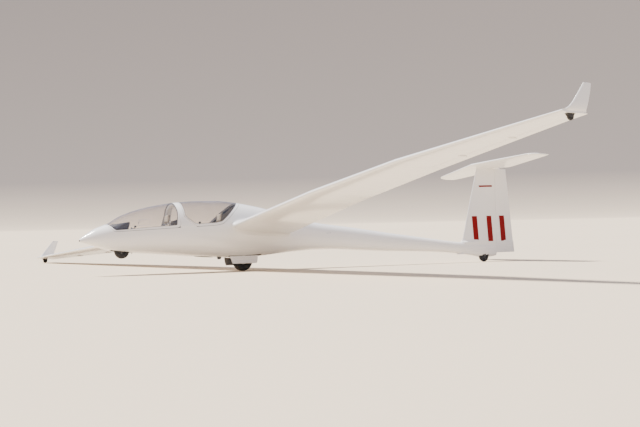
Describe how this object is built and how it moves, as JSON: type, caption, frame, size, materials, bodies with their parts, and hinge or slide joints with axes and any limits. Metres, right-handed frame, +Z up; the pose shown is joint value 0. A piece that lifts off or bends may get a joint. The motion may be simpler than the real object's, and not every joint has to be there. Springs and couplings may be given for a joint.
{
  "type": "two-seat sailplane glider",
  "caption": "Two-seat sailplane with winglets and a T-tail, resting on its main wheel, tail wheel and starboard tip wheel, with opening canopies and moving control surfaces.",
  "frame": {"origin": "on the floor, under the middle of the whole aircraft's box", "axes": "+X points aft, +Y to starboard along the span, +Z up; the nose is at -X"},
  "size_m": [8.5706, 19.9158, 2.5525],
  "materials": {
    "gelcoat": "polished white gelcoat",
    "clear": "clear acrylic",
    "cabin": "light stone-coloured cabin paint",
    "fabric": "woven seat cloth",
    "dark": "matt dark slate",
    "black": "black plastic and foam",
    "tyre": "black rubber, dusty tread",
    "rim": "cast, satin",
    "steel": "grey painted steel"
  },
  "bodies": {
    "airframe": {"fuselage_nose": "gelcoat", "fuselage_shell": "gelcoat", "fuselage_waist": "gelcoat", "fuselage_centre": "gelcoat", "canopy_hoop": "gelcoat", "tail_boom": "gelcoat", "tailplane": "gelcoat", "wing_inner_port": "gelcoat", "wing_outer_port": "gelcoat", "wing_inner_starboard": "gelcoat", "wing_outer_starboard": "gelcoat", "main_gear_fork": "steel", "nose_wheel_fork": "steel", "tail_wheel_fork": "steel", "main_gear_door_port": "gelcoat", "main_gear_door_starboard": "gelcoat", "tow_hook": "steel", "tip_wheel_mount_port": "gelcoat", "tip_wheel_mount_starboard": "gelcoat", "front_seat_pan": "cabin", "front_seat_cushion": "fabric", "front_headrest": "dark", "rear_seat_pan": "cabin", "rear_seat_cushion": "fabric", "rear_headrest": "dark", "front_panel_shroud": "dark", "front_instrument_panel": "dark", "rear_instrument_panel": "dark", "front_stick": "black", "rear_stick": "black", "front_pedals": "black"},
    "main_wheel": {"main_tyre": "tyre", "main_rim": "rim"},
    "nose_wheel": {"nose_tyre": "tyre", "nose_rim": "rim"},
    "tail_wheel": {"tail_tyre": "tyre", "tail_rim": "rim"},
    "tip_wheel_port_body": {"tip_wheel_port": "tyre"},
    "tip_wheel_starboard_body": {"tip_wheel_starboard": "tyre"},
    "front_canopy": {"front_canopy_frame": "gelcoat", "front_canopy_glass": "clear"},
    "rear_canopy": {"rear_canopy_frame": "gelcoat", "rear_canopy_glass": "clear"},
    "rudder_body": {"rudder": "gelcoat"},
    "elevator_body": {"elevator": "gelcoat"},
    "aileron_port_body": {"aileron_port": "gelcoat"},
    "aileron_starboard_body": {"aileron_starboard": "gelcoat"},
    "airbrake_port_body": {"airbrake_port": "gelcoat"},
    "airbrake_starboard_body": {"airbrake_starboard": "gelcoat"}
  },
  "joints": [
    {"name": "main_wheel_spin", "type": "hinge", "parent": "airframe", "child": "main_wheel", "pos_m": [-1.3373, -0.12142, 0.18223], "axis": [0, 0.9933, -0.1155], "continuous": true},
    {"name": "nose_wheel_spin", "type": "hinge", "parent": "airframe", "child": "nose_wheel", "pos_m": [-3.5543, -0.095, 0.4094], "axis": [0, 0.9933, -0.1155], "continuous": true},
    {"name": "tail_wheel_spin", "type": "hinge", "parent": "airframe", "child": "tail_wheel", "pos_m": [3.6037, -0.1309, 0.10078], "axis": [0, 0.9933, -0.1155], "continuous": true},
    {"name": "tip_wheel_port_spin", "type": "hinge", "parent": "airframe", "child": "tip_wheel_port_body", "pos_m": [-1.3803, -9.88569, 2.12197], "axis": [0, 0.9933, -0.1155], "continuous": true},
    {"name": "tip_wheel_starboard_spin", "type": "hinge", "parent": "airframe", "child": "tip_wheel_starboard_body", "pos_m": [-1.3803, 9.8532, 0.05079], "axis": [0, 0.9933, -0.1155], "continuous": true},
    {"name": "front_canopy_hinge", "type": "hinge", "parent": "airframe", "child": "front_canopy", "pos_m": [-2.6023, 0.30756, 0.69379], "axis": [-0.9998, -0.0023, -0.0202], "range_deg": [0, 80]},
    {"name": "rear_canopy_hinge", "type": "hinge", "parent": "airframe", "child": "rear_canopy", "pos_m": [-2.2873, 0.31064, 0.703], "axis": [-0.9991, -0.0049, -0.0425], "range_deg": [0, 80]},
    {"name": "rudder_hinge", "type": "hinge", "parent": "airframe", "child": "rudder_body", "pos_m": [3.90377, -0.12342, 0.16505], "axis": [0.0638, 0.1153, 0.9913], "range_deg": [-30, 30]},
    {"name": "elevator_hinge", "type": "hinge", "parent": "airframe", "child": "elevator_body", "pos_m": [4.0627, 0.06065, 1.74742], "axis": [0, 0.9933, -0.1155], "range_deg": [-22, 18]},
    {"name": "aileron_port_hinge", "type": "hinge", "parent": "airframe", "child": "aileron_port_body", "pos_m": [-0.98962, -5.89257, 1.63192], "axis": [0.0667, 0.9891, -0.1315], "range_deg": [-20, 20]},
    {"name": "aileron_starboard_hinge", "type": "hinge", "parent": "airframe", "child": "aileron_starboard_body", "pos_m": [-0.98962, 5.83699, 0.34238], "axis": [-0.0666, 0.9958, -0.0628], "range_deg": [-20, 20]},
    {"name": "airbrake_port_slide", "type": "slide", "parent": "airframe", "child": "airbrake_port_body", "axis": [0.1309, 0.1146, 0.9848], "range_m": [0, 0.095]},
    {"name": "airbrake_starboard_slide", "type": "slide", "parent": "airframe", "child": "airbrake_starboard_body", "axis": [0.1309, 0.1146, 0.9848], "range_m": [0, 0.095]}
  ],
  "couplings": [
    {"joint": "aileron_starboard_hinge", "follows": "aileron_port_hinge", "ratio": -1},
    {"joint": "airbrake_starboard_slide", "follows": "airbrake_port_slide", "ratio": 1}
  ]
}
